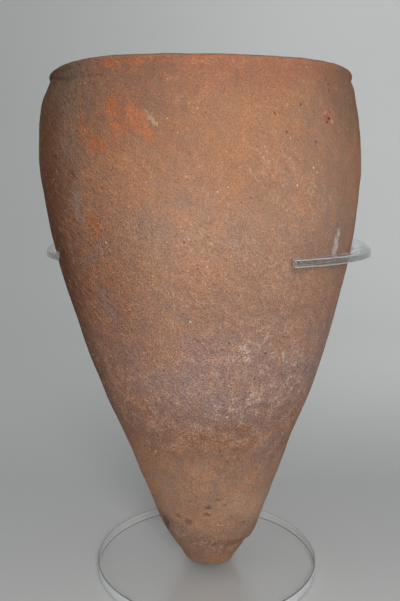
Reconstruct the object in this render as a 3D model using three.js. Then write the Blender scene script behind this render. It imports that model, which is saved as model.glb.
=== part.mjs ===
// Tapering storage jar of coarse fired clay with a small blunt base, upright in a clear acrylic stand.
// Millimetres, +Z up, the front of the jar faces -Y. The origin is the middle of the stand's underside.
import * as THREE from "three";

// The stand's foot: a round plate.
const DISC_RADIUS = 88;
const DISC_THICK = 8;

// The jar, measured from the top of the foot plate.
const JAR_HEIGHT = 370;
const BASE_RADIUS = 17.5;
const BASE_THICK = 17;
const WALL = 9;
const LIP_RADIUS = 108.4;
const LIP_CREST_RADIUS = 104.6;
const MOUTH_RADIUS = 99.8;
const GROOVE_RADIUS = 107.5;
const GROOVE_Z = 365.2;
const JAR_SIDES = 56;

// The stand's collar: a plate with a round seat and a straight-sided slot to the front, more to the left.
const COLLAR_TOP = 258;
const COLLAR_THICK = 5;
const COLLAR_FRONT_RADIUS = 120.2;
const COLLAR_CENTRE_X = 1;
const COLLAR_HALF_WIDTH = 129;
const COLLAR_BACK_Y = 128;
const COLLAR_CORNER = 18;
const SEAT_RADIUS = 111;
const SEAT_CENTRE_X = -2.3;
const SLOT_RIGHT_X = 52.7;
const SLOT_LEFT_X = -96;
const POLISHED_EDGE = 0.4;

// The strip behind the jar that carries the collar, leaning outwards from the foot plate.
const STRIP_WIDTH = 24;
const STRIP_DEPTH = 6;
const STRIP_FOOT_Y = 74;
const STRIP_HEAD_Y = 113.5;

const clay = new THREE.MeshStandardMaterial({
  name: "clay",
  color: new THREE.Color(0.6, 0.44, 0.32),
  roughness: 0.92,
  metalness: 0,
});
const acrylic = new THREE.MeshStandardMaterial({
  name: "acrylic",
  color: new THREE.Color(0.92, 0.95, 0.95),
  roughness: 0.06,
  metalness: 0,
  transparent: true,
  opacity: 0.3,
});

const v2 = (x, y) => new THREE.Vector2(x, y);

// Points along a smooth curve through a few radius and height pairs.
function through(pairs, count) {
  return new THREE.SplineCurve(pairs.map(([r, z]) => v2(r, z))).getPoints(count);
}

// The hand-built jar drifts off its own axis: to the right low down, to the left at the mouth.
function axisDrift(z) {
  const u = THREE.MathUtils.clamp(z / JAR_HEIGHT, 0, 1);
  return 3.19 - u * (6.47 + u * (5.06 - u * 1.45));
}

// The rim rises and dips a little as it goes round; the angle runs from the front towards +X.
function rimHeight(angle) {
  return (
    0.26 * Math.sin(angle) +
    0.2 * Math.sin(2 * angle) -
    0.61 * Math.cos(2 * angle) -
    0.83 * Math.sin(3 * angle + 0.36) -
    0.41 * Math.cos(4 * angle)
  );
}

// Outer side from the blunt base, over the pared foot and the swelling body, to the groove under the lip.
const foot = through(
  [
    [BASE_RADIUS, 0],
    [20.6, 1],
    [22.4, 4.2],
    [25.2, 9],
    [28.9, 14.4],
    [32.8, 20.4],
  ],
  6,
);
const body = through(
  [
    [32.8, 20.4],
    [37, 27],
    [40.3, 35],
    [45.7, 50],
    [54.9, 75],
    [65.4, 105],
    [79.6, 140],
    [91.1, 175],
    [100.5, 210],
    [108, 240],
    [112.5, 265],
    [115.3, 288],
    [117.1, 307],
    [116.5, 326],
    [115.1, 340],
    [113.4, 350],
    [110.9, 358.5],
    [GROOVE_RADIUS, GROOVE_Z],
  ],
  22,
).slice(1);
const lip = through(
  [
    [GROOVE_RADIUS, GROOVE_Z],
    [LIP_RADIUS, GROOVE_Z + 3.2],
    [LIP_RADIUS - 0.9, JAR_HEIGHT + 0.1],
    [LIP_CREST_RADIUS, JAR_HEIGHT + 0.9],
    [MOUTH_RADIUS + 1.4, JAR_HEIGHT - 0.9],
    [MOUTH_RADIUS, JAR_HEIGHT - 5.5],
  ],
  9,
).slice(1);

// Inner side, one wall thickness in, down to the thick clay of the base.
const inside = through(
  [
    [MOUTH_RADIUS, JAR_HEIGHT - 5.5],
    [103.4, 353],
    [106.2, 340],
    [117.1 - WALL, 308],
    [115.6 - WALL, 284],
    [108.2 - WALL, 240],
    [91.2 - WALL, 174],
    [65.4 - WALL, 105],
    [45 - WALL, 52],
    [18, BASE_THICK + 8],
    [0, BASE_THICK],
  ],
  15,
).slice(1);
inside[inside.length - 1].x = 0;

const jarGeometry = new THREE.LatheGeometry(
  [v2(0, 0), ...foot, ...body, ...lip, ...inside],
  JAR_SIDES,
);
jarGeometry.rotateX(Math.PI / 2);
const spot = jarGeometry.getAttribute("position");
for (let i = 0; i < spot.count; i += 1) {
  const x = spot.getX(i);
  const y = spot.getY(i);
  const z = spot.getZ(i);
  const share = THREE.MathUtils.smoothstep(z, 330, JAR_HEIGHT);
  const lift = share * rimHeight(Math.atan2(x, -y));
  spot.setXYZ(i, x + axisDrift(z), y, DISC_THICK + z + lift);
}
jarGeometry.computeVertexNormals();

// Round plate with a narrow polished chamfer on both edges.
const discGeometry = new THREE.LatheGeometry(
  [
    v2(0, 0),
    v2(DISC_RADIUS - POLISHED_EDGE, 0),
    v2(DISC_RADIUS, POLISHED_EDGE),
    v2(DISC_RADIUS, DISC_THICK - POLISHED_EDGE),
    v2(DISC_RADIUS - POLISHED_EDGE, DISC_THICK),
    v2(0, DISC_THICK),
  ],
  72,
);
discGeometry.rotateX(Math.PI / 2);

// Horseshoe outline: arm ends cut by the slot, a round front, sides that ease outwards to a straight back.
const degAtX = (x, centreX, radius) => THREE.MathUtils.radToDeg(Math.asin((x - centreX) / radius));
const frontEnd = (x) => degAtX(x, COLLAR_CENTRE_X, COLLAR_FRONT_RADIUS);
const seatEnd = (x) => degAtX(x, SEAT_CENTRE_X, SEAT_RADIUS);
const fromFront = (deg) => THREE.MathUtils.degToRad(deg - 90);
const outline = new THREE.Shape();
const right = COLLAR_CENTRE_X + COLLAR_HALF_WIDTH;
const left = COLLAR_CENTRE_X - COLLAR_HALF_WIDTH;
outline.absarc(
  COLLAR_CENTRE_X,
  0,
  COLLAR_FRONT_RADIUS,
  fromFront(frontEnd(SLOT_RIGHT_X)),
  fromFront(82),
  false,
);
outline.quadraticCurveTo(right - 5.5, 10, right, 64);
outline.lineTo(right, COLLAR_BACK_Y - COLLAR_CORNER);
outline.quadraticCurveTo(right, COLLAR_BACK_Y, right - COLLAR_CORNER, COLLAR_BACK_Y);
outline.lineTo(left + COLLAR_CORNER, COLLAR_BACK_Y);
outline.quadraticCurveTo(left, COLLAR_BACK_Y, left, COLLAR_BACK_Y - COLLAR_CORNER);
outline.lineTo(left, 64);
const sideAngle = fromFront(-82);
outline.quadraticCurveTo(
  left + 5.5,
  10,
  COLLAR_CENTRE_X + COLLAR_FRONT_RADIUS * Math.cos(sideAngle),
  COLLAR_FRONT_RADIUS * Math.sin(sideAngle),
);
outline.absarc(
  COLLAR_CENTRE_X,
  0,
  COLLAR_FRONT_RADIUS,
  sideAngle,
  fromFront(frontEnd(SLOT_LEFT_X)),
  false,
);
const seatStops = [seatEnd(SLOT_LEFT_X) + 360, 180, seatEnd(SLOT_RIGHT_X)].map(fromFront);
outline.absarc(SEAT_CENTRE_X, 0, SEAT_RADIUS, seatStops[0], seatStops[1], true);
outline.absarc(SEAT_CENTRE_X, 0, SEAT_RADIUS, seatStops[1], seatStops[2], true);
const collarGeometry = new THREE.ExtrudeGeometry(outline, {
  depth: COLLAR_THICK - 2 * POLISHED_EDGE,
  curveSegments: 12,
  bevelEnabled: true,
  bevelSize: POLISHED_EDGE,
  bevelOffset: -POLISHED_EDGE,
  bevelThickness: POLISHED_EDGE,
  bevelSegments: 1,
});
collarGeometry.translate(0, 0, COLLAR_TOP - COLLAR_THICK + POLISHED_EDGE);

// Leaning strip, its ends cut level so that they sit flat on the foot plate and under the collar.
const side = new THREE.Shape();
side.moveTo(STRIP_FOOT_Y, DISC_THICK);
side.lineTo(STRIP_FOOT_Y + STRIP_DEPTH, DISC_THICK);
side.lineTo(STRIP_HEAD_Y + STRIP_DEPTH, COLLAR_TOP - COLLAR_THICK);
side.lineTo(STRIP_HEAD_Y, COLLAR_TOP - COLLAR_THICK);
side.closePath();
const stripGeometry = new THREE.ExtrudeGeometry(side, {
  depth: STRIP_WIDTH,
  bevelEnabled: false,
});
stripGeometry.applyMatrix4(
  new THREE.Matrix4().makeBasis(
    new THREE.Vector3(0, 1, 0),
    new THREE.Vector3(0, 0, 1),
    new THREE.Vector3(1, 0, 0),
  ),
);
stripGeometry.translate(-STRIP_WIDTH / 2, 0, 0);

const pieces = {
  jar: [jarGeometry, clay],
  stand_disc: [discGeometry, acrylic],
  stand_collar: [collarGeometry, acrylic],
  stand_upright: [stripGeometry, acrylic],
};
const part = new THREE.Group();
for (const [name, [geometry, material]] of Object.entries(pieces)) {
  const mesh = new THREE.Mesh(geometry, material);
  mesh.name = name;
  part.add(mesh);
}

export default part;
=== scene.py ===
import math

import bmesh
import bpy
import numpy as np
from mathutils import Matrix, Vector


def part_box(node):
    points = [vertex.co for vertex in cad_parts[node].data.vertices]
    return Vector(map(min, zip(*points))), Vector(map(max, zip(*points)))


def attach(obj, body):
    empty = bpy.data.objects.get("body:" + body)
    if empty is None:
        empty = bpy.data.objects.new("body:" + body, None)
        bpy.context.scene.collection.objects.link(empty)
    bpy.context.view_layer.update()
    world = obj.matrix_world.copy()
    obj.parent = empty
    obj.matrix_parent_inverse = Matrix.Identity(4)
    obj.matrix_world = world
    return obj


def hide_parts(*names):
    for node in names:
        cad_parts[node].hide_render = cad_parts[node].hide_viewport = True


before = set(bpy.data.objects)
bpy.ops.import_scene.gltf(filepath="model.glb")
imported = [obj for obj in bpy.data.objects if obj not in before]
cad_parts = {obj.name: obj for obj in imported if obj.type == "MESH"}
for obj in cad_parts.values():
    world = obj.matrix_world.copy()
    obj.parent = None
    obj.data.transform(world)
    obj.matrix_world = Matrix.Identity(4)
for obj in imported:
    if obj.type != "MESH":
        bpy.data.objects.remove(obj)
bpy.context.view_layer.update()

# Looks of a hand-built clay jar with a small blunt base, upright in its clear acrylic display stand.
# Metres, +Z up, the front of the jar faces -Y. Places on the jar are an angle in degrees, from the
# front towards +X, and a height in millimetres above the stand's foot plate.

MM = 0.001

DISC_LOW, DISC_HIGH = (Vector(corner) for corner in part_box("stand_disc"))
COLLAR_LOW, COLLAR_HIGH = (Vector(corner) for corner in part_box("stand_collar"))
STRIP_LOW, STRIP_HIGH = (Vector(corner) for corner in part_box("stand_upright"))

# Jar, in millimetres: radius and height pairs of its profile
TABLE = DISC_HIGH.z
JAR_HEIGHT = 370.0
FOOT = [
    (18.4, 0), (21.5, 0.9), (23.3, 4.1), (26, 9), (29.6, 14.4), (33.3, 20.4), (37.2, 27), (40.4, 35),
    (45.7, 50),
]
BODY = [
    (45.7, 50), (54.9, 75), (65.4, 105), (79.6, 140), (91.1, 175), (100.5, 210), (108, 240),
    (112.5, 265), (115.3, 288), (117.1, 307), (116.5, 326), (115.1, 340), (113.4, 350), (110.9, 358.5),
    (107.5, 365.2),
]
LIP = [(107.5, 365.2), (108.4, 368.4), (107.5, 370.1), (104.6, 370.9), (101.2, 369.1), (99.8, 364.5)]
INSIDE = [
    (99.8, 364.5), (103.4, 353), (106.2, 340), (108.1, 308), (106.6, 284), (99.2, 240),
    (82.2, 174), (56.4, 105), (36, 52), (18, 25), (0, 17),
]
JAR_SIDES = 320
FOOT_POINTS = 12
BODY_POINTS = 24
LIP_POINTS = 12
INSIDE_POINTS = 16
FOOT_STEP = 1.1
BODY_STEP = 1.95
LIP_STEP = 0.9
INSIDE_STEP = 8.0

# Share of outer skin: what is left of it at the mouth, and the least that counts as outside
LIP_SKIN = 0.3
OUTER_SKIN = 0.5

# What the maker's hand left uneven: the axis, the lip, the rim and the groove under the lip
DRIFT = (3.19, -6.47, -5.06, 1.45)
LIP_SHIFT = 1.8
LIP_SHIFT_START = 350
LIP_SHIFT_RUN = 16
RIM_LIFT_START = 330
GROOVE_HEIGHT = 365.2
GROOVE_REACH = 6.0
GROOVE_CLIMB = 2.2

# Stand
DISC_SIDES = 192
POLISHED_EDGE = 0.7 * MM
COLLAR_CENTRE_X = 1 * MM
COLLAR_FRONT_RADIUS = 120.2 * MM
COLLAR_FRONT_END = 82
COLLAR_EASE = 5.5 * MM
COLLAR_WAIST_Y = 10 * MM
COLLAR_SIDE_Y = 64 * MM
COLLAR_CORNER = 18 * MM
SEAT_CENTRE_X = -2.3 * MM
SEAT_RADIUS = 111 * MM
SLOT_RIGHT_X = 52.7 * MM
SLOT_LEFT_X = -99 * MM
SLOT_LEFT_BACK_X = -101.3 * MM
ARM_CORNER = 2 * MM
STRIP_DEPTH = 6 * MM

# Places of the finishes on a plate, after the clear one of its flat faces: the bevels and the side walls,
# which carry painted highlights and painted reflections
EDGE = 1
WALL = 2

# Angles in degrees: between the faces at a cut edge or an upright corner, and the most that looks smooth
CUT_EDGE = 60
UPRIGHT_CORNER = 40
SMOOTH_BEND = 35

# Steps along the collar's curves
FRONT_STEPS = 40
LEFT_STEPS = 8
SIDE_STEPS = 16
CORNER_STEPS = 10
SEAT_STEPS = 160

# Camera, solved from the photograph
CAMERA_PLACE = (0.0, -0.512, 0.298)
CAMERA_DOWN = 9.12
CAMERA_LEFT = 0.60
FOCAL_PIXELS = 672.0
IMAGE_LONG_SIDE = 601.0
SENSOR = 36.0
NEAREST = 0.01

# Floor and backdrop, in metres
STAGE_HALF_WIDTH = 3.0
STAGE_FRONT = -2.5
STAGE_TURN = 0.9
STAGE_RADIUS = 0.7
STAGE_TOP = 3.0
STAGE_DROP = -0.3 * MM
STAGE_STEPS = 17
PAPER_PATCH = 0.4

# Lights: name, place, target, size in metres and power in watts
LIGHTS = [
    ("key", (0.09, -0.64, 0.37), (0, 0, 0.22), 0.22, 2.05),
    ("backdrop_light", (0.6, 0.3, 1.0), (0.6, 1.6, 0.8), 0.9, 6.5),
]
SKY = (0.97, 0.99, 1.0, 1)
SKY_STRENGTH = 0.36


def srgb(red, green, blue):
    """A colour given as 0 to 255 values, in linear light with full alpha."""
    def linear(value):
        share = value / 255
        return share / 12.92 if share <= 0.04045 else ((share + 0.055) / 1.055) ** 2.4

    return (linear(red), linear(green), linear(blue), 1.0)


# Node trees


class Nodes:
    """Short hand for a node tree, in which numbers and sockets can be mixed."""

    def __init__(self, tree):
        self.tree = tree

    def add(self, kind, **settings):
        node = self.tree.nodes.new(kind)
        for key, value in settings.items():
            setattr(node, key, value)
        return node

    def feed(self, socket, value):
        if isinstance(value, bpy.types.NodeSocket):
            self.tree.links.new(value, socket)
        else:
            socket.default_value = value

    def math(self, operation, *values, clamp=False):
        node = self.add("ShaderNodeMath", operation=operation, use_clamp=clamp)
        for socket, value in zip(node.inputs, values):
            self.feed(socket, value)
        return node.outputs[0]

    def plus(self, *values):
        total = values[0]
        for value in values[1:]:
            total = self.math("ADD", total, value)
        return total

    def times(self, *values):
        total = values[0]
        for value in values[1:]:
            total = self.math("MULTIPLY", total, value)
        return total

    def signed(self, noise, amount):
        """Noise turned into a rise and fall of up to amount either way."""
        return self.times(self.math("SUBTRACT", noise, 0.5), 2.0, amount)

    def vector(self, operation, *values):
        node = self.add("ShaderNodeVectorMath", operation=operation)
        for socket, value in zip(node.inputs, values):
            self.feed(socket, value)
        return node.outputs["Value" if operation == "LENGTH" else "Vector"]

    def scaled(self, vector, factors):
        return self.vector("MULTIPLY", vector, factors)

    def split(self, vector):
        node = self.add("ShaderNodeSeparateXYZ")
        self.feed(node.inputs[0], vector)
        return node.outputs

    def join(self, x, y, z):
        node = self.add("ShaderNodeCombineXYZ")
        for socket, value in zip(node.inputs, (x, y, z)):
            self.feed(socket, value)
        return node.outputs[0]

    def turned(self, vector, angle):
        node = self.add("ShaderNodeVectorRotate", rotation_type="Z_AXIS")
        self.feed(node.inputs["Vector"], vector)
        self.feed(node.inputs["Angle"], angle)
        return node.outputs[0]

    def slanted(self, place, twist, stretch):
        """The place wound round the upright axis, so that noise on it runs in slanting strokes."""
        turn = self.times(self.split(place)[2], twist)
        return self.scaled(self.turned(place, turn), (1, 1, stretch))

    def noise(self, place, size, detail=2.0, roughness=0.5, colour=False):
        """Noise whose blotches are about size metres across."""
        node = self.add("ShaderNodeTexNoise")
        self.feed(node.inputs["Vector"], place)
        node.inputs["Scale"].default_value = 1 / size
        node.inputs["Detail"].default_value = detail
        node.inputs["Roughness"].default_value = roughness
        return node.outputs["Color" if colour else "Fac"]

    def spots(self, place, spacing, radius, share):
        """Round spots at random places, on a share of cells about spacing metres wide."""
        node = self.add("ShaderNodeTexVoronoi", feature="F1")
        self.feed(node.inputs["Vector"], place)
        node.inputs["Scale"].default_value = 1 / spacing
        near = radius / spacing
        chosen = self.math("LESS_THAN", self.split(node.outputs["Color"])[0], share)
        return self.times(self.ramp(node.outputs["Distance"], near, near * 0.5), chosen)

    def ramp(self, value, low, high, out_low=0.0, out_high=1.0):
        """A smooth step from out_low at low to out_high at high."""
        node = self.add("ShaderNodeMapRange", interpolation_type="SMOOTHSTEP")
        for name, item in (("Value", value), ("From Min", low), ("From Max", high)):
            self.feed(node.inputs[name], item)
        node.inputs["To Min"].default_value = out_low
        node.inputs["To Max"].default_value = out_high
        return node.outputs[0]

    def bands(self, height, stops):
        """Colours that follow one another up the wall, from height and colour pairs."""
        node = self.add("ShaderNodeValToRGB")
        self.feed(node.inputs[0], self.math("DIVIDE", height, JAR_HEIGHT * MM))
        elements = node.color_ramp.elements
        while len(elements) < len(stops):
            elements.new(1.0)
        for element, (millimetres, colour) in zip(elements, stops):
            element.position = millimetres / JAR_HEIGHT
            element.color = colour
        return node.outputs[0]

    def mix(self, share, first, second, blend="MIX"):
        node = self.add("ShaderNodeMix", data_type="RGBA", blend_type=blend)
        self.feed(node.inputs[0], share)
        self.feed(node.inputs[6], first)
        self.feed(node.inputs[7], second)
        return node.outputs[2]


def new_material(name):
    material = bpy.data.materials.new(name)
    material.use_nodes = True
    nodes = Nodes(material.node_tree)
    shader = next(n for n in material.node_tree.nodes if n.type == "BSDF_PRINCIPLED")
    return material, nodes, shader


# Jar shape


def through(pairs, count):
    """Points on the smooth curve through the pairs, count of them to each stretch between two pairs."""
    points = np.array([pairs[0], *pairs, pairs[-1]], float)
    steps = np.arange(count) / count
    curve = []
    for before, start, end, after in zip(points, points[1:], points[2:], points[3:]):
        for t in steps:
            slope_in = (end - before) / 2
            slope_out = (after - start) / 2
            cubic = 2 * start - 2 * end + slope_in + slope_out
            square = -3 * start + 3 * end - 2 * slope_in - slope_out
            curve.append(((cubic * t + square) * t + slope_in) * t + start)
    return np.array([*curve, points[-1]])


def spaced(curve, step):
    """The curve's points set at even steps along it."""
    lengths = np.concatenate([[0], np.cumsum(np.hypot(*np.diff(curve, axis=0).T))])
    count = max(2, round(lengths[-1] / step))
    marks = np.linspace(0, lengths[-1], count + 1)
    return np.stack([np.interp(marks, lengths, curve[:, k]) for k in (0, 1)], axis=1)


def axis_drift(height):
    """How far the hand-built jar strays from its axis, to the right low down and left at the mouth."""
    u = np.clip(height / JAR_HEIGHT, 0, 1)
    lip = np.clip((height - LIP_SHIFT_START) / LIP_SHIFT_RUN, 0, 1)
    drift = DRIFT[0] + u * (DRIFT[1] + u * (DRIFT[2] + u * DRIFT[3]))
    return drift + LIP_SHIFT * lip * lip * (3 - 2 * lip)


def rim_lift(angle):
    """The rise and dip of the rim as it goes round."""
    waves = 0.26 * np.sin(angle) + 0.2 * np.sin(2 * angle) - 0.61 * np.cos(2 * angle)
    return waves - 0.83 * np.sin(3 * angle + 0.36) - 0.41 * np.cos(4 * angle)


def groove_lift(angle, height):
    """How far the groove under the lip climbs towards the left, where the lip is thinnest."""
    near = np.clip(1 - np.abs(height - GROOVE_HEIGHT) / GROOVE_REACH, 0, 1)
    return GROOVE_CLIMB * near * (0.5 - 0.5 * np.sin(angle))


OUTER_CURVE = np.concatenate([through(FOOT, FOOT_POINTS)[:-1], through(BODY, BODY_POINTS)])


def radius_at(height):
    return float(np.interp(height, OUTER_CURVE[:, 1], OUTER_CURVE[:, 0]))


def jar_profile():
    """Rings from the base over the lip to the inner floor: radius, height and share of outer skin."""
    parts = [
        (spaced(through(FOOT, FOOT_POINTS), FOOT_STEP), 1.0, 1.0),
        (spaced(through(BODY, BODY_POINTS), BODY_STEP)[1:], 1.0, 1.0),
        (spaced(through(LIP, LIP_POINTS), LIP_STEP)[1:], 1.0, LIP_SKIN),
        (spaced(through(INSIDE, INSIDE_POINTS), INSIDE_STEP)[1:-1], LIP_SKIN, 0.0),
    ]
    rings = np.concatenate([part for part, _, _ in parts])
    skin = np.concatenate([np.linspace(first, last, len(part)) for part, first, last in parts])
    return rings, skin


def jar_faces(count):
    """Quads between the rings and two fans that close the base and the inner floor."""
    faces = []
    side = np.arange(JAR_SIDES)
    after = (side + 1) % JAR_SIDES
    for ring in range(count - 1):
        low, high = ring * JAR_SIDES, (ring + 1) * JAR_SIDES
        faces += np.stack([low + side, low + after, high + after, high + side], axis=1).tolist()
    base, well, last = count * JAR_SIDES, count * JAR_SIDES + 1, (count - 1) * JAR_SIDES
    for here, there in zip(side.tolist(), after.tolist()):
        faces.append((base, there, here))
        faces.append((well, last + here, last + there))
    return faces


def jar_blank():
    """The smooth jar as a mesh, with its unrolled skin as a UV map in metres."""
    rings, skin = jar_profile()
    count = len(rings)
    angles = np.linspace(-np.pi, np.pi, JAR_SIDES, endpoint=False)
    radius, height = (rings[:, k][:, None] for k in (0, 1))
    share = np.clip((height - RIM_LIFT_START) / (JAR_HEIGHT - RIM_LIFT_START), 0, 1)
    lift = share * share * (3 - 2 * share) * rim_lift(angles)[None]
    lift = lift + np.where(skin[:, None] > OUTER_SKIN, groove_lift(angles[None], height), 0)
    x = axis_drift(height) + radius * np.sin(angles)
    y = -radius * np.cos(angles)
    grid = np.stack([x, y, height + lift], axis=-1).reshape(-1, 3)
    floor = INSIDE[-1][1]
    poles = [(axis_drift(0), 0, 0), (axis_drift(floor), 0, floor)]
    points = np.concatenate([grid, poles]) * MM
    points[:, 2] += TABLE
    mesh = bpy.data.meshes.new("jar")
    mesh.from_pydata(points.tolist(), [], jar_faces(count))

    layers = {
        "skin": np.append(np.repeat(skin, JAR_SIDES), [skin[0], skin[-1]]),
        "up": np.append(np.repeat(rings[:, 1] * MM, JAR_SIDES), [0, floor * MM]),
        "turn": np.append(np.tile(angles, count), [0, 0]),
    }
    for name, values in layers.items():
        mesh.attributes.new(name, "FLOAT", "POINT").data.foreach_set("value", values)

    # The last quad before the seam at the back ends at half a turn, not at the start of the next
    corner_point = np.empty(len(mesh.loops), int)
    mesh.loops.foreach_get("vertex_index", corner_point)
    column = np.concatenate([np.repeat(np.tile(np.arange(JAR_SIDES), count - 1), 4),
                             np.repeat(np.arange(JAR_SIDES), 6)])
    turn = layers["turn"][corner_point]
    turn = np.where((column == JAR_SIDES - 1) & (turn < -np.pi / 2), turn + 2 * np.pi, turn)
    ring = np.minimum(corner_point // JAR_SIDES, count - 1)
    ring[corner_point == count * JAR_SIDES] = 0
    wrap = np.stack([turn * rings[ring, 0], rings[ring, 1]], axis=1) * MM
    mesh.uv_layers.new(name="wrap").data.foreach_set("uv", wrap.ravel())
    mesh.shade_smooth()
    return mesh


# Hollows pressed or broken out of the skin: angle, height, then half width, half height and depth in
# millimetres
DENTS = [
    (44.4, 336, 5.6, 6.0, 1.3),
    (-1, 62, 3.6, 2.2, 0.5),
    (-2.5, 55.5, 3.4, 2.4, 0.6),
    (-20.9, 46.5, 3.6, 3.2, 0.5),
    (7, 69, 3.4, 2.0, 0.4),
    (30, 21, 9.0, 6.0, 0.8),
    (76, 3, 17.0, 10.0, 2.6),
    (-2.3, 197, 2.6, 2.0, 0.6),
    (24.5, 187, 2.6, 2.2, 0.6),
    (-58, 232, 4.0, 7.0, 0.9),
    (-62, 222, 3.5, 5.0, 0.8),
    (-56, 214, 4.0, 4.5, 0.7),
    (-63, 150, 7.0, 14.0, 1.0),
    (150, 120, 10.0, 7.0, 1.0),
    (-140, 210, 7.0, 11.0, 1.0),
    (112, 290, 6.0, 8.0, 0.9),
]


def press_dents(mesh):
    points = np.empty((len(mesh.vertices), 3))
    mesh.vertices.foreach_get("co", points.ravel())
    skin, up, turn = (np.empty(len(points)) for _ in range(3))
    for name, values in (("skin", skin), ("up", up), ("turn", turn)):
        mesh.attributes[name].data.foreach_get("value", values)
    for degrees, height, half_width, half_height, depth in DENTS:
        away = np.angle(np.exp(1j * (turn - math.radians(degrees))))
        reach = np.hypot(away * radius_at(height) / half_width, (up / MM - height) / half_height)
        sink = np.where(skin > OUTER_SKIN, np.clip(1 - reach, 0, 1), 0)
        sink = depth * MM * sink * sink * (3 - 2 * sink)
        points[:, 0] -= sink * np.sin(turn)
        points[:, 1] += sink * np.cos(turn)
    mesh.vertices.foreach_set("co", points.ravel())
    mesh.update()


RELIEF_SIZES = {
    "Wander": 0.8 * MM,
    "Stroke Depth": 0.24 * MM,
    "Pit Depth": 0.6 * MM,
    "Pit Radius": 2.8 * MM,
    "Pit Spacing": 24 * MM,
    "Ledge Height": 52 * MM,
    "Ledge Fall": 29 * MM,
    "Ledge Jag": 10 * MM,
    "Ledge Depth": 2.2 * MM,
    "Seat Height": (COLLAR_LOW.z + COLLAR_HIGH.z) / 2 - TABLE,
}
RELIEF_SEED = 11

# Grain of the relief: size in metres, detail and roughness of its noise
BROAD_WANDER = (0.075, 2.0)
CLOSE_WANDER = (0.018, 3.0)
CLOSE_SHARE = 0.7
STROKE_WIDTH = (0.0055, 2.0)
STROKE_STRETCH = 0.35
PIT_VARIETY = 0.03
PIT_DENSITY = 4000.0
LEDGE_GRAIN = (0.014, 4.0, 0.7)
LEDGE_PATCH = 0.02

# Directions: twist round the wall in radians to a metre of height, and angles on the unrolled wall
SCRAPE_TWIST = 6.3
RAKE_SLANT = math.radians(36)
LEDGE_LOWEST = math.radians(75)
LEDGE_DEEPEST = math.radians(78)
LEDGE_FALLOFF = 3.0

# Where each form is absent and where it is full, in metres below the ledge's line, up the wall or from the
# collar's seat
STEP_EDGE = (-0.0008, 0.0016)
STEP_END = (0.03, 0.006)
STEP_BASE = (0.002, 0.02)
BROW_RISE = (-0.012, -0.0008)
BROW_DROP = (0.0004, -0.0008)
BROW_SHARE = 0.2
SEAT_CLEAR = (0.004, 0.016)
BASE_CLEAR = (0.0002, 0.003)


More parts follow.
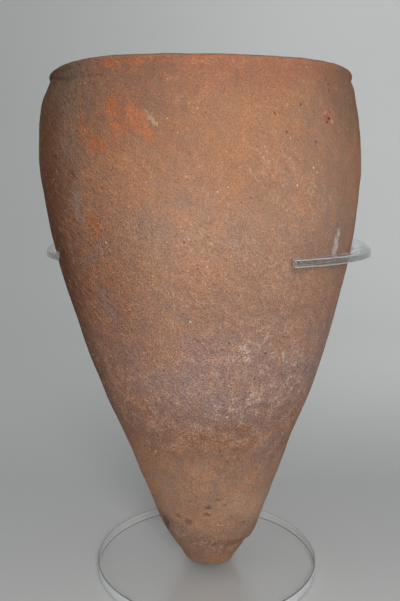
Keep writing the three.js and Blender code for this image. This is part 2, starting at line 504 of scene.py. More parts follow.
def relief_tree():
    """Wandering wall, scraping strokes, pits and the pared ledge at the foot, along the normal."""
    tree = bpy.data.node_groups.new("jar_relief", "GeometryNodeTree")
    tree.interface.new_socket("Jar", in_out="INPUT", socket_type="NodeSocketGeometry")
    for name in RELIEF_SIZES:
        tree.interface.new_socket(name, in_out="INPUT", socket_type="NodeSocketFloat")
    tree.interface.new_socket("Seed", in_out="INPUT", socket_type="NodeSocketInt")
    tree.interface.new_socket("Clay", in_out="INPUT", socket_type="NodeSocketMaterial")
    tree.interface.new_socket("Jar", in_out="OUTPUT", socket_type="NodeSocketGeometry")
    n = Nodes(tree)
    given = n.add("NodeGroupInput").outputs
    place = n.add("GeometryNodeInputPosition").outputs[0]
    normal = n.add("GeometryNodeInputNormal").outputs[0]

    def named(name):
        node = n.add("GeometryNodeInputNamedAttribute", data_type="FLOAT")
        node.inputs["Name"].default_value = name
        return node.outputs["Attribute"]

    skin, up, turn = named("skin"), named("up"), named("turn")

    # The wall wanders in and out under the maker's hands
    wander = n.plus(
        n.signed(n.noise(place, *BROAD_WANDER), given["Wander"]),
        n.signed(n.noise(place, *CLOSE_WANDER), n.times(given["Wander"], CLOSE_SHARE)),
    )

    # Scraping strokes run down to the right round the wall
    along = n.slanted(place, SCRAPE_TWIST, STROKE_STRETCH)
    strokes = n.signed(n.noise(along, *STROKE_WIDTH), given["Stroke Depth"])

    # Pits where grit and straw came out
    scatter = n.add("GeometryNodeDistributePointsOnFaces", distribute_method="POISSON")
    n.feed(scatter.inputs["Mesh"], given["Jar"])
    n.feed(scatter.inputs["Selection"], n.math("GREATER_THAN", skin, 0.9))
    n.feed(scatter.inputs["Distance Min"], given["Pit Spacing"])
    n.feed(scatter.inputs["Density Max"], PIT_DENSITY)
    n.feed(scatter.inputs["Seed"], given["Seed"])
    near = n.add("GeometryNodeProximity", target_element="POINTS")
    n.feed(near.inputs[0], scatter.outputs["Points"])
    reach = n.times(given["Pit Radius"], n.ramp(n.noise(place, PIT_VARIETY), 0.3, 0.7, 0.4, 1.3))
    bowl = n.math("SUBTRACT", 1.0, n.math("DIVIDE", near.outputs["Distance"], reach), clamp=True)
    pits = n.times(bowl, n.math("SUBTRACT", 2.0, bowl), given["Pit Depth"], -1.0)

    # The foot was pared away below a jagged ledge that falls and deepens towards the right
    def swell(middle):
        return n.plus(0.5, n.times(0.5, n.math("COSINE", n.math("SUBTRACT", turn, middle))))

    line = n.math("SUBTRACT", given["Ledge Height"], n.times(given["Ledge Fall"], swell(LEDGE_LOWEST)))
    line = n.plus(line, n.signed(n.noise(place, *LEDGE_GRAIN), given["Ledge Jag"]))
    below = n.math("SUBTRACT", line, up)
    step = n.times(n.ramp(below, *STEP_EDGE), n.ramp(below, *STEP_END), n.ramp(up, *STEP_BASE))
    brow = n.times(n.ramp(below, *BROW_RISE), n.ramp(below, *BROW_DROP))
    patchy = n.ramp(n.noise(place, LEDGE_PATCH), 0.35, 0.6, 0.5, 1.0)
    worn = n.times(n.math("POWER", swell(LEDGE_DEEPEST), LEDGE_FALLOFF), patchy)
    ledge = n.times(n.math("SUBTRACT", n.times(brow, BROW_SHARE), step), given["Ledge Depth"], worn)

    # Nothing stands proud where the collar goes round or where the base rests
    total = n.plus(wander, strokes, pits, ledge)
    from_seat = n.math("ABSOLUTE", n.math("SUBTRACT", up, given["Seat Height"]))
    proud = n.times(n.math("MAXIMUM", total, 0.0), n.ramp(from_seat, *SEAT_CLEAR))
    total = n.plus(proud, n.math("MINIMUM", total, 0.0))
    total = n.times(total, skin, n.ramp(up, *BASE_CLEAR))

    shift = n.add("GeometryNodeSetPosition")
    n.feed(shift.inputs["Geometry"], given["Jar"])
    offset = n.add("ShaderNodeVectorMath", operation="SCALE")
    n.feed(offset.inputs[0], normal)
    n.feed(offset.inputs["Scale"], total)
    n.feed(shift.inputs["Offset"], offset.outputs[0])
    pared = n.add("GeometryNodeStoreNamedAttribute", data_type="FLOAT", domain="POINT")
    n.feed(pared.inputs["Geometry"], shift.outputs[0])
    n.feed(pared.inputs["Name"], "pared")
    n.feed(pared.inputs["Value"], n.times(step, patchy))
    whole = n.add("GeometryNodeRealizeInstances")
    n.feed(whole.inputs[0], pared.outputs[0])
    coat = n.add("GeometryNodeSetMaterial")
    n.feed(coat.inputs["Geometry"], whole.outputs[0])
    n.feed(coat.inputs["Material"], given["Clay"])
    n.feed(n.add("NodeGroupOutput").inputs[0], coat.outputs[0])
    return tree


def make_jar(clay):
    mesh = jar_blank()
    press_dents(mesh)
    blank = add_piece("jar_blank", mesh)
    tree = relief_tree()
    modifier = blank.modifiers.new("relief", "NODES")
    modifier.node_group = tree
    inputs = [item for item in tree.interface.items_tree if item.in_out == "INPUT"]
    sockets = {item.name: item.identifier for item in inputs}
    for name, size in RELIEF_SIZES.items():
        modifier[sockets[name]] = size
    modifier[sockets["Seed"]] = RELIEF_SEED
    modifier[sockets["Clay"]] = clay
    done = blank.evaluated_get(bpy.context.evaluated_depsgraph_get())
    finished = bpy.data.meshes.new_from_object(done)
    blank.modifiers.remove(modifier)
    bpy.data.objects.remove(blank)
    finished.name = "jar_skin"
    finished.shade_smooth()
    return add_piece("jar_skin", finished)


# Clay

LIP_RED = srgb(173, 119, 91)
SHOULDER = srgb(175, 127, 96)
BELLY = srgb(177, 136, 111)
LOWER_BELLY = srgb(172, 130, 107)
MAUVE = srgb(174, 137, 121)
LOW_BROWN = srgb(163, 120, 96)
FOOT_TAN = srgb(177, 136, 109)
TIP_BROWN = srgb(170, 131, 107)
FIRE_CLOUD = srgb(125, 118, 102)
RED_BROWN = srgb(150, 107, 85)
# Painted shade for the left edge, where the light falls off round the jar
LEFT_EDGE_PAINTED_SHADE = srgb(122, 74, 45)
LEFT_BROWN = srgb(162, 110, 79)
GREY_BROWN = srgb(160, 125, 103)
OLIVE_BROWN = srgb(142, 108, 86)
GREY_TAN = srgb(165, 131, 113)
PALE_TAN = srgb(194, 155, 128)
RUST = srgb(188, 110, 70)
LIGHT_RUST = srgb(200, 121, 80)
# Deep rust for real marks, also used as dirt and painted shade in the furrows of the grain
DEEP_RUST_AND_SHADE = srgb(128, 76, 52)
AMBER = srgb(190, 122, 78)
PALE = srgb(196, 166, 136)
# Pale film on the grains, also a painted highlight on their ridges
FILM_AND_HIGHLIGHT = srgb(205, 180, 162)
BLOOM = srgb(214, 206, 198)
GREY_MAUVE = srgb(150, 133, 127)
SOOT = srgb(52, 48, 50)
HOLE = srgb(96, 60, 42)
CHIP_PINK = srgb(184, 116, 92)
PIT_BROWN = srgb(142, 90, 58)
PARED = srgb(150, 114, 98)
# Painted shadow for the groove under the lip
GROOVE_PAINTED_SHADOW = srgb(66, 54, 46)
GRIT = srgb(226, 214, 200)
WELL = srgb(120, 90, 72)
GREY_CAST = (0.93, 1.01, 1.13, 1)
RED_CAST = (1.07, 0.945, 0.81, 1)

# The clay's colour from base to lip: height in millimetres and colour
HEIGHT_BANDS = [
    (4, TIP_BROWN), (30, TIP_BROWN), (50, FOOT_TAN), (82, FOOT_TAN), (106, LOW_BROWN), (126, LOW_BROWN),
    (154, MAUVE), (176, MAUVE), (222, LOWER_BELLY), (268, BELLY), (308, SHOULDER), (345, SHOULDER),
    (362, LIP_RED),
]

# Broad tones: angle, height, half width, half height in millimetres, colour, strength
TONES = [
    (-60, 352, 50, 46, FIRE_CLOUD, 0.95),
    (-28, 350, 44, 26, RED_BROWN, 0.75),
    (-53, 292, 30, 40, GREY_BROWN, 0.7),
    (-44, 195, 36, 110, LEFT_BROWN, 0.55),
    # Painted shade: a dark strip down the left edge, where the light falls off round the jar
    (-76, 200, 34, 220, LEFT_EDGE_PAINTED_SHADE, 0.95),
    (62, 352, 32, 28, OLIVE_BROWN, 0.75),
    (46, 262, 44, 74, GREY_TAN, 0.45),
    (40, 56, 20, 14, PALE_TAN, 0.8),
    (40, 110, 20, 30, MAUVE, 0.4),
    (138, 300, 60, 55, FIRE_CLOUD, 0.75),
    (-135, 150, 45, 60, GREY_TAN, 0.6),
    (170, 215, 40, 30, RED_BROWN, 0.6),
]

# Marks worn into flecks: angle, height, half width and half height in millimetres, turn in degrees,
# colour, strength
MARKS = [
    (-29, 364.5, 8, 2.4, 0, RUST, 0.75),
    (-21, 365, 9, 2.2, 0, RUST, 0.85),
    (-13, 366, 8, 1.8, 0, RUST, 0.55),
    (-26, 340, 8, 6, -10, RUST, 0.9),
    (-17, 330, 13, 6, -52, LIGHT_RUST, 0.9),
    (-31.5, 319, 11, 5, -15, RUST, 0.75),
    (-24, 329, 7, 11, 25, RUST, 0.6),
    (-38, 328, 12, 7, -50, RUST, 0.45),
    (-44, 302, 8, 16, -20, RUST, 0.4),
    (-37, 271, 6, 12, 25, RUST, 0.55),
    (-38, 253, 6, 9, 25, RUST, 0.5),
    (-34, 228, 5, 10, 25, RUST, 0.5),
    (-40, 236, 18, 4, 60, RUST, 0.3),
    (-118, 330, 18, 9, -40, RUST, 0.8),
    (165, 240, 18, 9, 20, RUST, 0.6),
    (-12.9, 330.5, 6, 2.6, -55, PALE, 0.7),
    (-41.8, 281, 6, 12, 10, GREY_MAUVE, 0.7),
    (-37, 252, 11, 6, 45, GREY_MAUVE, 0.55),
    (-38, 218, 9, 14, 25, GREY_MAUVE, 0.6),
    (27, 240, 16, 18, 0, PALE_TAN, 0.45),
    (22, 306, 18, 16, 10, PALE_TAN, 0.4),
    (37, 285, 24, 13, -10, PALE_TAN, 0.42),
    (4, 262, 26, 10, -10, PALE_TAN, 0.4),
    (52.6, 256.5, 3.4, 10.5, -14, BLOOM, 1.0),
    (19.5, 131, 7, 2.6, -4, AMBER, 0.8),
    (-55, 38, 4.4, 6, 25, SOOT, 1.0),
    (6, 35, 14, 5, 0, GREY_TAN, 0.6),
    (32, 20, 10, 7, 15, LOW_BROWN, 0.9),
    (-25, 24, 10, 8, 0, AMBER, 0.5),
    (18, 8, 14, 6, 0, AMBER, 0.45),
    (-5, 48, 20, 8, 0, PALE_TAN, 0.4),
]

# Fine marks with clean edges, as above
FINE_MARKS = [
    (-1, 62, 3.0, 1.5, 0, PIT_BROWN, 0.8),
    (-2.5, 55.5, 2.7, 1.9, -10, PIT_BROWN, 0.8),
    (-20.9, 46.5, 3.2, 2.8, 0, PIT_BROWN, 0.7),
    (7, 69, 2.7, 1.0, 0, PIT_BROWN, 0.8),
    (13, 64, 1.6, 0.9, 0, PIT_BROWN, 0.75),
    (-16, 67, 1.4, 0.9, 0, PIT_BROWN, 0.7),
    (-31, 50, 1.8, 2.4, 20, PIT_BROWN, 0.5),
    (36, 43.5, 1.3, 0.9, 20, HOLE, 0.6),
    (-2.3, 197, 2.0, 1.0, -30, DEEP_RUST_AND_SHADE, 0.8),
    (24.5, 187, 1.1, 1.0, 0, SOOT, 0.7),
    (44.4, 336, 6.2, 5.4, 0, CHIP_PINK, 0.8),
    (43.2, 338.5, 1.5, 1.3, 20, BLOOM, 0.4),
    (46.2, 333.8, 1.3, 1.1, 10, BLOOM, 0.35),
    (45.2, 335.6, 1.2, 1.0, 0, SOOT, 0.75),
    (43.6, 333.2, 1.0, 0.8, 0, SOOT, 0.7),
    (32.5, 342, 0.8, 1.0, 0, SOOT, 0.8),
    (46.4, 356, 0.8, 0.8, 0, SOOT, 0.7),
    # Painted shadow along the groove under the lip, on the left
    (-65, 364.0, 29, 1.0, -8.5, GROOVE_PAINTED_SHADOW, 0.5),
    (-40, 359.8, 26, 0.8, -3, GROOVE_PAINTED_SHADOW, 0.2),
]


# Softness of their edges
TONE_SOFTNESS = 0.7
MARK_SOFTNESS = 0.6
FINE_SOFTNESS = 0.5

# Zones of the wall: angle, height, half width and half height in millimetres
LEFT_ZONE = (-56, 240, 58, 120)
FIRE_ZONE = (-60, 352, 50, 46)
RUST_ZONES = [(-28, 328, 34, 28), (-36, 258, 20, 56)]
RAKED_ZONE = (-62, 250, 62, 170)
CRUST_ZONE = (24, 174, 34, 30)
CRUST_TURN = 20
CRUST_SOFTNESS = 0.8

# Grain of the surface: size in metres, detail and roughness of its noise
BROAD_STRAY = (0.035, 3.0, 0.6)
CLOSE_STRAY = (0.006, 3.0, 0.65)
BLOTCH = (0.03, 3.0, 0.6)
MOTTLE = (0.009, 3.0, 0.6)
FLAKE = (0.0045, 3.0, 0.65)
TINT = (0.0018, 3.0, 0.7)
GRAIN = (0.0008, 2.0, 0.65)
WIPING = (0.003, 2.0, 0.6)
CURL = (0.009, 2.0, 0.5)
STROKE = (0.0009, 2.0, 0.6)
RAKE = (0.0022, 2.0, 0.6)

# Small things in the clay: spacing and radius in metres, and the share of places that have one
FINE_GRITS = (0.006, 0.00065, 0.22)
LARGE_GRITS = (0.013, 0.001, 0.25)
STRAW = (0.0065, 0.00055, 0.34)
PINHOLES = (0.0065, 0.0006, 0.3)

# Directions of the straw and the pinholes: twist round the wall in radians to a metre, and stretch
STRAW_SLANTS = [(-3, 0.25), (8, 0.2), (15, 0.28)]
PINHOLE_SLANT = (4, 0.5)

# Noise at which a fleck begins and at which it is full
WORN_FLECKS = (0.35, 0.85)
FILM_PATCHES = (0.44, 0.58)
FILM_AND_HIGHLIGHT_FLECKS = (0.52, 0.66)
BARED_STROKES = (0.5, 0.62)
BARED_FLAKES = (0.48, 0.62)
RUDDY_FLECKS = (0.52, 0.64)
# This one darkens the furrows with dirt and painted shade
HOLLOW_DIRT_AND_SHADE = (0.47, 0.34)
SALT_FLECKS = (0.46, 0.66)
SALT_PATCHES = (0.44, 0.64)


def stain_group():
    """How far a place on the unrolled skin lies inside an oval with a soft edge."""
    tree = bpy.data.node_groups.new("stain_shape", "ShaderNodeTree")
    vectors, numbers = ("Place", "Centre", "Reach"), ("Turn", "Softness")
    for names, kind in ((vectors, "NodeSocketVector"), (numbers, "NodeSocketFloat")):
        for name in names:
            tree.interface.new_socket(name, in_out="INPUT", socket_type=kind)
    tree.interface.new_socket("Share", in_out="OUTPUT", socket_type="NodeSocketFloat")
    n = Nodes(tree)
    given = n.add("NodeGroupInput").outputs
    away = n.turned(n.vector("SUBTRACT", given["Place"], given["Centre"]), given["Turn"])
    reach = n.vector("LENGTH", n.vector("DIVIDE", away, given["Reach"]))
    inner = n.math("SUBTRACT", 1.0, given["Softness"])
    outer = n.math("ADD", 1.0, given["Softness"])
    share = n.math("SUBTRACT", 1.0, n.ramp(reach, inner, outer))
    n.feed(n.add("NodeGroupOutput").inputs[0], share)
    return tree


class ClaySurface:
    """The coordinates and noises that the clay's colour and bump share."""

    def __init__(self, n):
        self.n = n
        self.stain_shape = stain_group()
        place = n.add("ShaderNodeTexCoord").outputs["Object"]
        unrolled = n.add("ShaderNodeUVMap", uv_map="wrap").outputs[0]
        self.place = place
        self.skin = n.add("ShaderNodeAttribute", attribute_name="skin").outputs["Fac"]
        self.pared = n.add("ShaderNodeAttribute", attribute_name="pared").outputs["Fac"]

        # Edges of stains stray, widely for the broad tones and closely for the marks
        middle = (0.5, 0.5, 0.5)
        broad = n.vector("SUBTRACT", n.noise(place, *BROAD_STRAY, colour=True), middle)
        close = n.vector("SUBTRACT", n.noise(place, *CLOSE_STRAY, colour=True), middle)
        self.unrolled = unrolled
        self.nearby = n.vector("ADD", unrolled, n.scaled(close, (0.006, 0.006, 0)))
        self.strayed = n.vector("ADD", self.nearby, n.scaled(broad, (0.04, 0.06, 0)))
        self.up = n.split(unrolled)[1]
        self.strayed_up = n.split(self.strayed)[1]

        # Zones of the wall
        self.left = self.zone(LEFT_ZONE)
        self.sooted = self.zone(FIRE_ZONE)
        self.mauve = n.times(n.ramp(self.strayed_up, 0.24, 0.155), n.ramp(self.strayed_up, 0.085, 0.13))
        self.rusty = n.math("MAXIMUM", *(self.zone(oval) for oval in RUST_ZONES))
        lower = n.ramp(self.up, 0.30, 0.24, 0.0, 0.22)
        worn = n.math("MAXIMUM", self.left, self.mauve)
        self.rough = n.plus(0.42, lower, n.times(worn, 0.28), n.times(self.pared, 0.25))

        # Grain of the surface, from broad patches to single grains
        self.blotch = n.noise(place, *BLOTCH)
        self.mottle = n.noise(place, *MOTTLE)
        self.raked = n.times(self.zone(RAKED_ZONE), n.ramp(self.mottle, 0.36, 0.52, 0.45, 1.0))
        self.flake = n.noise(n.slanted(place, SCRAPE_TWIST, 0.5), *FLAKE)
        self.tint = n.noise(place, *TINT)
        self.grain = n.noise(place, *GRAIN)
        self.wiping = n.noise(n.scaled(place, (0.2, 0.2, 1)), *WIPING)

        # Thin strokes that curl about the direction of scraping, plainest on the left
        curl = n.vector("SUBTRACT", n.noise(place, *CURL, colour=True), middle)
        bent = n.vector("ADD", place, n.scaled(curl, (0.012, 0.012, 0.012)))
        self.stroke = n.noise(n.slanted(bent, SCRAPE_TWIST, 0.3), *STROKE)
        along = n.turned(n.vector("ADD", unrolled, n.scaled(curl, (0.003, 0.003, 0))), RAKE_SLANT)
        self.rake = n.noise(n.scaled(along, (0.28, 1, 1)), *RAKE)
        fine = n.plus(n.times(self.stroke, 0.4), n.times(self.grain, 0.6))
        even = n.math("SUBTRACT", 1.0, n.times(self.raked, 0.8))
        self.lines = n.plus(n.times(fine, even), n.times(self.rake, self.raked, 0.8))

    def zone(self, oval):
        return self.stain(self.strayed, *oval, 0, TONE_SOFTNESS)

    def stain(self, place, degrees, height, half_width, half_height, turn, softness):
        n = self.n
        node = n.add("ShaderNodeGroup", node_tree=self.stain_shape)
        n.feed(node.inputs["Place"], place)
        arc = math.radians(degrees) * radius_at(height)
        node.inputs["Centre"].default_value = (arc * MM, height * MM, 0)
        node.inputs["Reach"].default_value = (half_width * MM, half_height * MM, 1)
        node.inputs["Turn"].default_value = math.radians(-turn)
        node.inputs["Softness"].default_value = softness
        return node.outputs[0]

    def broken(self, share, strength):
        """A mark worn into flecks, the sparser the weaker it is and towards its edge."""
        n = self.n
        wear = n.plus(n.signed(self.flake, 1.0), n.signed(self.tint, 1.1))
        flecks = n.ramp(n.plus(n.times(share, strength), wear), *WORN_FLECKS)
        return n.times(flecks, n.ramp(share, 0.0, 0.2), 0.8)


def laid_tones(n, clay):
    """Clay by height, with broad tones from the firing, marks from wear, and painted shade on the left
    edge and in the groove under the lip.
    """
    colour = n.bands(clay.strayed_up, HEIGHT_BANDS)
    for *oval, tint, strength in TONES:
        colour = n.mix(n.times(clay.zone(oval), strength), colour, tint)
    colour = n.mix(n.times(clay.pared, 0.7), colour, PARED)
    for *oval, tint, strength in MARKS:
        share = clay.stain(clay.nearby, *oval, MARK_SOFTNESS)
        colour = n.mix(clay.broken(share, strength), colour, tint)
    for *oval, tint, strength in FINE_MARKS:
        share = clay.stain(clay.unrolled, *oval, FINE_SOFTNESS)
        colour = n.mix(n.times(share, strength), colour, tint)
    return colour


def flecked(n, clay, colour):
    """Grey and red flecks, pale film with painted highlight on the grain ridges, dirt and painted shade
    between them.
    """
    cast = n.plus(n.signed(clay.tint, 1.0), n.signed(clay.mottle, 0.9), n.signed(clay.blotch, 0.7))
    low = n.plus(n.ramp(clay.up, 0.15, 0.1, 0.0, 0.5), n.times(clay.pared, 0.8))
    uneven = n.plus(1.0, n.times(clay.mauve, 1.2), n.times(clay.left, 0.35), low)
    cast = n.plus(0.5, n.times(cast, uneven))
    grey = n.mix(1.0, colour, GREY_CAST, "MULTIPLY")
    red = n.mix(1.0, colour, RED_CAST, "MULTIPLY")
    colour = n.mix(n.math("MINIMUM", n.math("MAXIMUM", cast, 0.0), 1.0), grey, red)

    # Scraping bares red clay beside the fire cloud; elsewhere pale film gathers on the grains in patches,
    # on their ridges, where it is also a painted highlight
    clean = n.times(n.math("SUBTRACT", 1.0, clay.sooted), n.math("SUBTRACT", 1.0, clay.rusty))
    cloudy = n.plus(n.times(clay.mottle, 0.6), n.times(clay.blotch, 0.4))
    patches = n.ramp(cloudy, *FILM_PATCHES, 0.3, 1.0)
    film_and_highlight = n.times(n.ramp(clay.lines, *FILM_AND_HIGHLIGHT_FLECKS), patches, n.plus(0.2, n.times(clean, 0.8)), clay.rough)
    dusty = n.math("SUBTRACT", 0.7, n.times(clay.raked, 0.4))
    colour = n.mix(n.times(film_and_highlight, dusty), colour, FILM_AND_HIGHLIGHT)
    bared = n.times(n.ramp(clay.stroke, *BARED_STROKES), n.ramp(clay.flake, *BARED_FLAKES), clay.rusty)
    colour = n.mix(n.times(bared, 0.65), colour, RUST)
    ruddy = n.ramp(n.plus(n.times(clay.mottle, 0.6), n.times(clay.flake, 0.4)), *RUDDY_FLECKS)
    colour = n.mix(n.times(ruddy, clay.mauve, 0.4), colour, AMBER)
    # Dirt and painted shade darken the furrows between the grains and strokes
    hollow_dirt_and_shade = n.times(n.ramp(clay.lines, *HOLLOW_DIRT_AND_SHADE), clay.rough)
    colour = n.mix(n.times(hollow_dirt_and_shade, 0.5), colour, DEEP_RUST_AND_SHADE)
    # Speckle in the clay's tone; on the raked left the rake relief is also painted lighter on its ridges
    # and darker in its furrows, as painted light and shade
    value = n.plus(
        1.0,
        n.times(clay.rough, n.plus(n.signed(clay.grain, 1.1), n.signed(clay.stroke, 0.25))),
        n.times(n.plus(n.signed(clay.rake, 0.45), n.signed(clay.grain, 0.7)), clay.raked),
        n.signed(clay.mottle, 0.1),
        n.signed(clay.blotch, 0.14),
    )
    return n.mix(1.0, colour, n.join(value, value, value), "MULTIPLY")


def clay_colour(n, clay):
    """Tones and flecks, with salts, grits and pinholes over them and a darker inside."""
    colour = laid_tones(n, clay)
    colour = flecked(n, clay, colour)

    # Salt bloom, thick in places and thin lower down
    crusted = clay.stain(clay.strayed, *CRUST_ZONE, CRUST_TURN, CRUST_SOFTNESS)
    thick = n.plus(crusted, n.times(clay.mauve, 0.5), n.times(clay.pared, 0.7), 0.06)
    salt = n.times(n.ramp(clay.tint, *SALT_FLECKS), n.ramp(clay.mottle, *SALT_PATCHES), thick, 0.8)
    colour = n.mix(n.math("MINIMUM", salt, 0.8), colour, BLOOM)

    # Small and large pale grits, straw marks and dark pinholes
    mirrored = n.scaled(clay.place, (1, -1, 1))
    colour = n.mix(n.times(n.spots(clay.place, *FINE_GRITS), 0.65), colour, GRIT)
    colour = n.mix(n.times(n.spots(mirrored, *LARGE_GRITS), 0.9), colour, GRIT)
    for slant in STRAW_SLANTS:
        straw = n.spots(n.slanted(clay.place, *slant), *STRAW)
        colour = n.mix(n.times(straw, 0.6), colour, PALE)
    colour = n.mix(n.times(clay_pinholes(n, clay), 0.8), colour, HOLE)
    return n.mix(n.ramp(clay.skin, 0.35, 0.1, 0.0, 0.75), colour, WELL)


def clay_pinholes(n, clay):
    return n.spots(n.slanted(clay.place, *PINHOLE_SLANT), *PINHOLES)


def clay_bump(n, clay):
    """Fine relief in millimetres."""
    strokes = n.plus(n.signed(clay.stroke, 0.6), n.signed(clay.grain, 0.32), n.signed(clay.tint, 0.2))
    height = n.plus(
        n.times(strokes, clay.rough),
        n.times(n.plus(n.signed(clay.rake, 1.0), n.signed(clay.tint, 0.8)), clay.raked),
        n.signed(clay.mottle, 0.25),
        n.signed(clay.wiping, n.ramp(clay.up, 0.345, 0.365, 0.0, 0.2)),
    )
    return n.plus(height, n.times(clay_pinholes(n, clay), -0.4))


def clay_material():
    """Straw-tempered clay, scraped by hand and fired unevenly, with salts, grit and wear."""
    material, n, shader = new_material("clay")
    clay = ClaySurface(n)
    n.feed(shader.inputs["Base Color"], clay_colour(n, clay))
    n.feed(shader.inputs["Roughness"], n.ramp(clay.grain, 0.2, 0.8, 0.84, 0.98))
    shader.inputs["Specular IOR Level"].default_value = 0.25
    bump = n.add("ShaderNodeBump")
    bump.inputs["Distance"].default_value = MM
    n.feed(bump.inputs["Height"], clay_bump(n, clay))
    n.feed(shader.inputs["Normal"], bump.outputs[0])
    return material


# Acrylic


# Finishes: name, colour, clearness, opacity, haze and bending of light
CLEAR = ("acrylic", (0.985, 0.995, 0.995, 1), 1.0, 0.8, 0.0, 1.49)
CLEAR_FOOT = ("acrylic_foot", (0.985, 0.995, 0.995, 1), 1.0, 0.25, 0.2, 1.25)
# Painted highlight: pale, half-frosted bevels on the collar and strip, standing in for bright edge glints
PAINTED_HIGHLIGHT_EDGE = ("acrylic_painted_highlight_edge", (0.9, 0.93, 0.93, 1), 0.5, 0.75, 0.08, 1.49)
# Painted highlight: a white band on the foot plate's side wall
PAINTED_HIGHLIGHT_WALL = ("acrylic_painted_highlight_wall", (0.97, 0.98, 0.98, 1), 0.2, 0.75, 0.08, 1.49)
# Painted reflection: a dark line on the foot plate's bevels, for the dark surroundings seen in them
PAINTED_REFLECTION_LINE = ("acrylic_painted_reflection_line", (0.2, 0.22, 0.22, 1), 0.4, 0.75, 0.08, 1.49)
# Painted reflection: a grey side wall on the collar, for the dark surroundings seen in it
PAINTED_REFLECTION_WALL = ("acrylic_painted_reflection_wall", (0.36, 0.39, 0.39, 1), 0.9, 0.6, 0.08, 1.49)


def acrylic_material(name, colour, clearness, opacity, haze, bending):
    """Clear cast acrylic, or the finish of its edges and walls, pale for a painted highlight and dark for
    a painted reflection.
    """
    material, _, shader = new_material(name)
    shader.inputs["Base Color"].default_value = colour
    shader.inputs["Transmission Weight"].default_value = clearness
    shader.inputs["IOR"].default_value = bending
    shader.inputs["Alpha"].default_value = opacity
    shader.inputs["Roughness"].default_value = haze
    return material


# Stand pieces


def add_piece(name, mesh):
    piece = bpy.data.objects.new(name, mesh)
    bpy.context.scene.collection.objects.link(piece)
    return piece


def closed_mesh(bm, name):
    bmesh.ops.recalc_face_normals(bm, faces=bm.faces)
    mesh = bpy.data.meshes.new(name)
    bm.to_mesh(mesh)
    bm.free()
    mesh.shade_smooth()
    mesh.set_sharp_from_angle(angle=math.radians(SMOOTH_BEND))
    return mesh


def raised(bm, outline, shift):
    """A closed block: the outline's face and its copy moved by shift."""
    face = bm.faces.new([bm.verts.new(point) for point in outline])
    moved = bmesh.ops.extrude_face_region(bm, geom=[face])["geom"]
    bmesh.ops.translate(bm, verts=[v for v in moved if isinstance(v, bmesh.types.BMVert)], vec=shift)
    bmesh.ops.recalc_face_normals(bm, faces=bm.faces)


def rounded(bm, edges, radius, segments, material=-1):
    bmesh.ops.bevel(
        bm, geom=edges, offset=radius, segments=segments, profile=0.5, affect="EDGES", material=material
    )


def sharp_edges(bm, degrees):
    return [edge for edge in bm.edges if edge.calc_face_angle(0) > math.radians(degrees)]


def side_faces(bm):
    return [face for face in bm.faces if abs(face.normal.z) < 0.5]


def disc_mesh():
    """Round foot plate with a rounded, polished edge."""
    radius = (DISC_HIGH.x - DISC_LOW.x) / 2
    turns = np.linspace(0, 2 * np.pi, DISC_SIDES, endpoint=False)
    bm = bmesh.new()
    outline = [(radius * math.cos(a), radius * math.sin(a), DISC_LOW.z) for a in turns]
    raised(bm, outline, (0, 0, DISC_HIGH.z - DISC_LOW.z))
    for face in side_faces(bm):
        face.material_index = WALL
    rounded(bm, sharp_edges(bm, CUT_EDGE), POLISHED_EDGE, 4, EDGE)
    return closed_mesh(bm, "stand_foot_plate")


def arc(centre_x, radius, first, last, steps):
    """Points round a centre on the X axis, by degrees from the front."""
    turns = np.radians(np.linspace(first, last, steps + 1))
    return [(centre_x + radius * math.sin(a), -radius * math.cos(a)) for a in turns]


def bend(start, middle, end, steps):
    """Points on the curve from start towards middle and round to end."""
    path = []
    for t in np.linspace(0, 1, steps + 1):
        weights = ((1 - t) ** 2, 2 * t * (1 - t), t * t)
        path.append(tuple(sum(w * p[k] for w, p in zip(weights, (start, middle, end))) for k in (0, 1)))
    return path


def slot_end(x, centre_x, radius):
    """The angle from the front at which a circle meets a side of the slot."""
    return math.degrees(math.asin((x - centre_x) / radius))


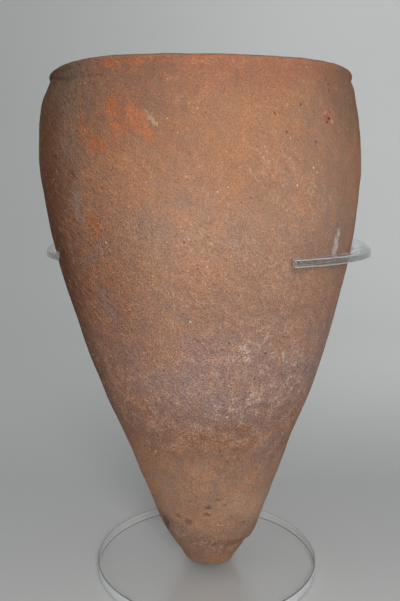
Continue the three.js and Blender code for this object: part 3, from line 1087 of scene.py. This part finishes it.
def collar_mesh():
    """Plate with arm ends cut by the slot, a round front and sides easing out to a straight back."""
    right, left, back = COLLAR_HIGH.x, COLLAR_LOW.x, COLLAR_HIGH.y
    front = (COLLAR_CENTRE_X, COLLAR_FRONT_RADIUS)
    seat = (SEAT_CENTRE_X, SEAT_RADIUS)
    right_side, right_waist = (right, COLLAR_SIDE_Y), (right - COLLAR_EASE, COLLAR_WAIST_Y)
    left_side, left_waist = (left, COLLAR_SIDE_Y), (left + COLLAR_EASE, COLLAR_WAIST_Y)
    right_corner = [(right, back - COLLAR_CORNER), (right, back), (right - COLLAR_CORNER, back)]
    left_corner = [(left + COLLAR_CORNER, back), (left, back), (left, back - COLLAR_CORNER)]
    front_left = arc(*front, -COLLAR_FRONT_END, slot_end(SLOT_LEFT_X, *front), LEFT_STEPS)
    outline = arc(*front, slot_end(SLOT_RIGHT_X, *front), COLLAR_FRONT_END, FRONT_STEPS)
    outline += bend(outline[-1], right_waist, right_side, SIDE_STEPS)[1:]
    outline += bend(*right_corner, CORNER_STEPS)
    outline += bend(*left_corner, CORNER_STEPS)
    outline += bend(left_side, left_waist, front_left[0], SIDE_STEPS)
    outline += front_left[1:]
    seat_start = slot_end(SLOT_LEFT_BACK_X, *seat) + 360
    outline += arc(*seat, seat_start, slot_end(SLOT_RIGHT_X, *seat), SEAT_STEPS)
    thick = COLLAR_HIGH.z - COLLAR_LOW.z
    bm = bmesh.new()
    raised(bm, [(x, y, COLLAR_LOW.z) for x, y in outline], (0, 0, thick))
    for face in side_faces(bm):
        middle = face.calc_center_median()
        if math.hypot(middle.x - SEAT_CENTRE_X, middle.y) > SEAT_RADIUS + ARM_CORNER:
            face.material_index = WALL
    corners = sharp_edges(bm, UPRIGHT_CORNER)
    upright = [e for e in corners if abs(e.verts[0].co.z - e.verts[1].co.z) > thick / 2]
    rounded(bm, [e for e in upright if e.verts[0].co.x > 0], ARM_CORNER, 4)
    rounded(bm, sharp_edges(bm, CUT_EDGE), POLISHED_EDGE, 3, EDGE)
    return closed_mesh(bm, "stand_collar_plate")


def strip_mesh():
    """Leaning strip with level ends and softly rounded edges."""
    x = STRIP_LOW.x
    section = [
        (x, STRIP_LOW.y, STRIP_LOW.z),
        (x, STRIP_LOW.y + STRIP_DEPTH, STRIP_LOW.z),
        (x, STRIP_HIGH.y, STRIP_HIGH.z),
        (x, STRIP_HIGH.y - STRIP_DEPTH, STRIP_HIGH.z),
    ]
    bm = bmesh.new()
    raised(bm, section, (STRIP_HIGH.x - STRIP_LOW.x, 0, 0))
    rounded(bm, list(bm.edges), POLISHED_EDGE, 3, EDGE)
    return closed_mesh(bm, "stand_strip")


def stand_piece(mesh, *finishes):
    for finish in finishes:
        mesh.materials.append(finish)
    return add_piece(mesh.name, mesh)


# Stage, light and camera


def make_stage():
    """Pale floor that sweeps up behind into a plain backdrop."""
    run = [(STAGE_FRONT, STAGE_DROP), (STAGE_TURN, STAGE_DROP)]
    for a in np.linspace(0, math.pi / 2, STAGE_STEPS)[1:]:
        back, rise = STAGE_RADIUS * math.sin(a), STAGE_RADIUS * (1 - math.cos(a))
        run.append((STAGE_TURN + back, STAGE_DROP + rise))
    run.append((STAGE_TURN + STAGE_RADIUS, STAGE_TOP))
    bm = bmesh.new()
    rows = [[bm.verts.new((x, y, z)) for x in (-STAGE_HALF_WIDTH, STAGE_HALF_WIDTH)] for y, z in run]
    for (a, b), (c, d) in zip(rows, rows[1:]):
        bm.faces.new((a, b, d, c))
    mesh = bpy.data.meshes.new("sweep")
    bm.to_mesh(mesh)
    bm.free()
    mesh.shade_smooth()
    sweep = add_piece("sweep", mesh)
    material, n, shader = new_material("pale_paper")
    place = n.add("ShaderNodeTexCoord").outputs["Object"]
    paper = n.mix(n.noise(place, PAPER_PATCH), srgb(214, 216, 215), srgb(220, 222, 221))
    n.feed(shader.inputs["Base Color"], paper)
    shader.inputs["Roughness"].default_value = 0.9
    mesh.materials.append(material)


def area_light(name, place, target, size, power):
    data = bpy.data.lights.new(name, "AREA")
    data.size = size
    data.energy = power
    lamp = bpy.data.objects.new(name, data)
    lamp.location = place
    lamp.rotation_euler = (Vector(target) - Vector(place)).to_track_quat("-Z", "Y").to_euler()
    bpy.context.scene.collection.objects.link(lamp)


def make_lights():
    for light in LIGHTS:
        area_light(*light)
    world = bpy.data.worlds.new("studio")
    world.use_nodes = True
    sky = world.node_tree.nodes["Background"]
    sky.inputs["Color"].default_value = SKY
    sky.inputs["Strength"].default_value = SKY_STRENGTH
    bpy.context.scene.world = world


def make_camera():
    data = bpy.data.cameras.new("camera")
    data.sensor_width = SENSOR
    data.lens = FOCAL_PIXELS / IMAGE_LONG_SIDE * SENSOR
    data.clip_start = NEAREST
    camera = bpy.data.objects.new("camera", data)
    camera.location = CAMERA_PLACE
    camera.rotation_euler = (math.radians(90 - CAMERA_DOWN), 0, math.radians(CAMERA_LEFT))
    bpy.context.scene.collection.objects.link(camera)
    bpy.context.scene.camera = camera


make_camera()
make_stage()
make_lights()
bpy.context.scene.view_settings.view_transform = "Standard"

clear = acrylic_material(*CLEAR)
clear_foot = acrylic_material(*CLEAR_FOOT)
painted_highlight_edge = acrylic_material(*PAINTED_HIGHLIGHT_EDGE)
painted_highlight_wall = acrylic_material(*PAINTED_HIGHLIGHT_WALL)
painted_reflection_line = acrylic_material(*PAINTED_REFLECTION_LINE)
painted_reflection_wall = acrylic_material(*PAINTED_REFLECTION_WALL)
pieces = [
    (make_jar(clay_material()), "jar", "clay"),
    # The foot plate's bevels carry a painted dark reflection and its side wall a painted highlight band
    (stand_piece(disc_mesh(), clear_foot, painted_reflection_line, painted_highlight_wall), "stand_disc", "acrylic"),
    # The collar's side walls carry a painted reflection and its bevels a painted highlight
    (stand_piece(collar_mesh(), clear, painted_highlight_edge, painted_reflection_wall), "stand_collar", "acrylic"),
    (stand_piece(strip_mesh(), clear, painted_highlight_edge), "stand_upright", "acrylic"),
]
for piece, node, slot in pieces:
    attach(piece, "root")
    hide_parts(node)
